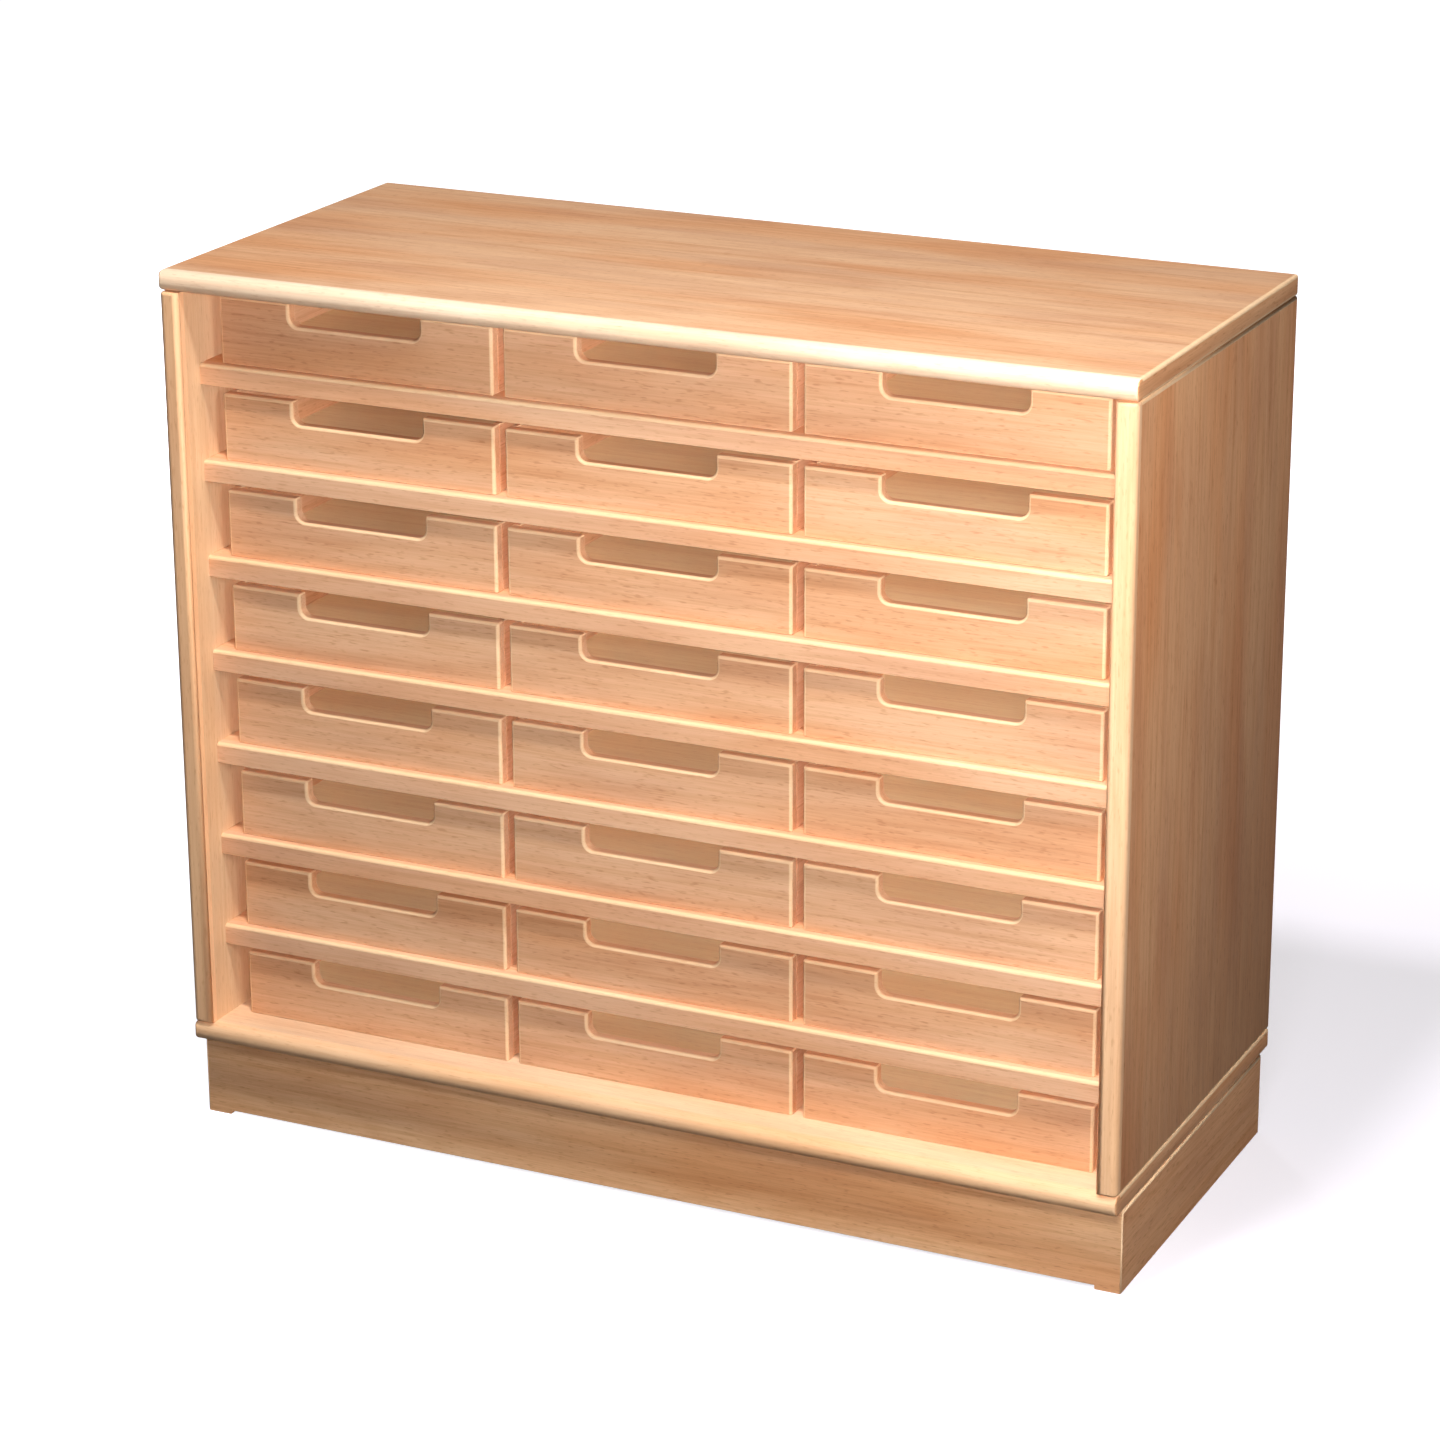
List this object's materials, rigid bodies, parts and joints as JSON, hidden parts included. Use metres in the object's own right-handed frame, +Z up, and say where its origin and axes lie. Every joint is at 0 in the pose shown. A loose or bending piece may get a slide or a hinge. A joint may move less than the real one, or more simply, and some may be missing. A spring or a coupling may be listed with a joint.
{
  "type": "classroom tray storage unit",
  "caption": "Low beech-faced cabinet with rows of sliding open-topped wooden trays, each with a finger notch in its front, on a recessed plinth.",
  "frame": {"origin": "on the floor, under the middle of the cabinet's width and depth", "axes": "+Z up, +X along the width to the right seen from the front, +Y towards the back, so the trays slide out along -Y"},
  "size_m": [1.044, 0.46, 0.928],
  "materials": {
    "beech_veneer": "satin lacquer",
    "solid_beech": "satin lacquer",
    "plinth_beech": "satin lacquer",
    "tray_beech": "satin lacquer",
    "back_plywood": "thin lacquer"
  },
  "bodies": {
    "carcass": {"top_panel": "beech_veneer", "bottom_panel": "beech_veneer", "left_side_panel": "beech_veneer", "right_side_panel": "beech_veneer", "shelf_1": "beech_veneer", "shelf_2": "beech_veneer", "shelf_3": "beech_veneer", "shelf_4": "beech_veneer", "shelf_5": "beech_veneer", "shelf_6": "beech_veneer", "shelf_7": "beech_veneer", "back_panel": "back_plywood", "top_lipping": "solid_beech", "bottom_lipping": "solid_beech", "left_side_lipping": "solid_beech", "right_side_lipping": "solid_beech", "shelf_1_lipping": "solid_beech", "shelf_2_lipping": "solid_beech", "shelf_3_lipping": "solid_beech", "shelf_4_lipping": "solid_beech", "shelf_5_lipping": "solid_beech", "shelf_6_lipping": "solid_beech", "shelf_7_lipping": "solid_beech", "plinth_front_board": "plinth_beech", "plinth_back_board": "plinth_beech", "plinth_left_board": "plinth_beech", "plinth_right_board": "plinth_beech", "plinth_middle_rail": "plinth_beech", "plinth_corner_block_front_left": "solid_beech", "plinth_corner_block_front_right": "solid_beech", "plinth_corner_block_back_left": "solid_beech", "plinth_corner_block_back_right": "solid_beech"},
    "tray_row1_col1": {"tray_row1_col1": "tray_beech"},
    "tray_row1_col2": {"tray_row1_col2": "tray_beech"},
    "tray_row1_col3": {"tray_row1_col3": "tray_beech"},
    "tray_row2_col1": {"tray_row2_col1": "tray_beech"},
    "tray_row2_col2": {"tray_row2_col2": "tray_beech"},
    "tray_row2_col3": {"tray_row2_col3": "tray_beech"},
    "tray_row3_col1": {"tray_row3_col1": "tray_beech"},
    "tray_row3_col2": {"tray_row3_col2": "tray_beech"},
    "tray_row3_col3": {"tray_row3_col3": "tray_beech"},
    "tray_row4_col1": {"tray_row4_col1": "tray_beech"},
    "tray_row4_col2": {"tray_row4_col2": "tray_beech"},
    "tray_row4_col3": {"tray_row4_col3": "tray_beech"},
    "tray_row5_col1": {"tray_row5_col1": "tray_beech"},
    "tray_row5_col2": {"tray_row5_col2": "tray_beech"},
    "tray_row5_col3": {"tray_row5_col3": "tray_beech"},
    "tray_row6_col1": {"tray_row6_col1": "tray_beech"},
    "tray_row6_col2": {"tray_row6_col2": "tray_beech"},
    "tray_row6_col3": {"tray_row6_col3": "tray_beech"},
    "tray_row7_col1": {"tray_row7_col1": "tray_beech"},
    "tray_row7_col2": {"tray_row7_col2": "tray_beech"},
    "tray_row7_col3": {"tray_row7_col3": "tray_beech"},
    "tray_row8_col1": {"tray_row8_col1": "tray_beech"},
    "tray_row8_col2": {"tray_row8_col2": "tray_beech"},
    "tray_row8_col3": {"tray_row8_col3": "tray_beech"}
  },
  "joints": [
    {"name": "tray_row1_col1_slide", "type": "slide", "parent": "carcass", "child": "tray_row1_col1", "axis": [0, -1, 0], "range_m": [0, 0.28]},
    {"name": "tray_row1_col2_slide", "type": "slide", "parent": "carcass", "child": "tray_row1_col2", "axis": [0, -1, 0], "range_m": [0, 0.28]},
    {"name": "tray_row1_col3_slide", "type": "slide", "parent": "carcass", "child": "tray_row1_col3", "axis": [0, -1, 0], "range_m": [0, 0.28]},
    {"name": "tray_row2_col1_slide", "type": "slide", "parent": "carcass", "child": "tray_row2_col1", "axis": [0, -1, 0], "range_m": [0, 0.28]},
    {"name": "tray_row2_col2_slide", "type": "slide", "parent": "carcass", "child": "tray_row2_col2", "axis": [0, -1, 0], "range_m": [0, 0.28]},
    {"name": "tray_row2_col3_slide", "type": "slide", "parent": "carcass", "child": "tray_row2_col3", "axis": [0, -1, 0], "range_m": [0, 0.28]},
    {"name": "tray_row3_col1_slide", "type": "slide", "parent": "carcass", "child": "tray_row3_col1", "axis": [0, -1, 0], "range_m": [0, 0.28]},
    {"name": "tray_row3_col2_slide", "type": "slide", "parent": "carcass", "child": "tray_row3_col2", "axis": [0, -1, 0], "range_m": [0, 0.28]},
    {"name": "tray_row3_col3_slide", "type": "slide", "parent": "carcass", "child": "tray_row3_col3", "axis": [0, -1, 0], "range_m": [0, 0.28]},
    {"name": "tray_row4_col1_slide", "type": "slide", "parent": "carcass", "child": "tray_row4_col1", "axis": [0, -1, 0], "range_m": [0, 0.28]},
    {"name": "tray_row4_col2_slide", "type": "slide", "parent": "carcass", "child": "tray_row4_col2", "axis": [0, -1, 0], "range_m": [0, 0.28]},
    {"name": "tray_row4_col3_slide", "type": "slide", "parent": "carcass", "child": "tray_row4_col3", "axis": [0, -1, 0], "range_m": [0, 0.28]},
    {"name": "tray_row5_col1_slide", "type": "slide", "parent": "carcass", "child": "tray_row5_col1", "axis": [0, -1, 0], "range_m": [0, 0.28]},
    {"name": "tray_row5_col2_slide", "type": "slide", "parent": "carcass", "child": "tray_row5_col2", "axis": [0, -1, 0], "range_m": [0, 0.28]},
    {"name": "tray_row5_col3_slide", "type": "slide", "parent": "carcass", "child": "tray_row5_col3", "axis": [0, -1, 0], "range_m": [0, 0.28]},
    {"name": "tray_row6_col1_slide", "type": "slide", "parent": "carcass", "child": "tray_row6_col1", "axis": [0, -1, 0], "range_m": [0, 0.28]},
    {"name": "tray_row6_col2_slide", "type": "slide", "parent": "carcass", "child": "tray_row6_col2", "axis": [0, -1, 0], "range_m": [0, 0.28]},
    {"name": "tray_row6_col3_slide", "type": "slide", "parent": "carcass", "child": "tray_row6_col3", "axis": [0, -1, 0], "range_m": [0, 0.28]},
    {"name": "tray_row7_col1_slide", "type": "slide", "parent": "carcass", "child": "tray_row7_col1", "axis": [0, -1, 0], "range_m": [0, 0.28]},
    {"name": "tray_row7_col2_slide", "type": "slide", "parent": "carcass", "child": "tray_row7_col2", "axis": [0, -1, 0], "range_m": [0, 0.28]},
    {"name": "tray_row7_col3_slide", "type": "slide", "parent": "carcass", "child": "tray_row7_col3", "axis": [0, -1, 0], "range_m": [0, 0.28]},
    {"name": "tray_row8_col1_slide", "type": "slide", "parent": "carcass", "child": "tray_row8_col1", "axis": [0, -1, 0], "range_m": [0, 0.28]},
    {"name": "tray_row8_col2_slide", "type": "slide", "parent": "carcass", "child": "tray_row8_col2", "axis": [0, -1, 0], "range_m": [0, 0.28]},
    {"name": "tray_row8_col3_slide", "type": "slide", "parent": "carcass", "child": "tray_row8_col3", "axis": [0, -1, 0], "range_m": [0, 0.28]}
  ]
}
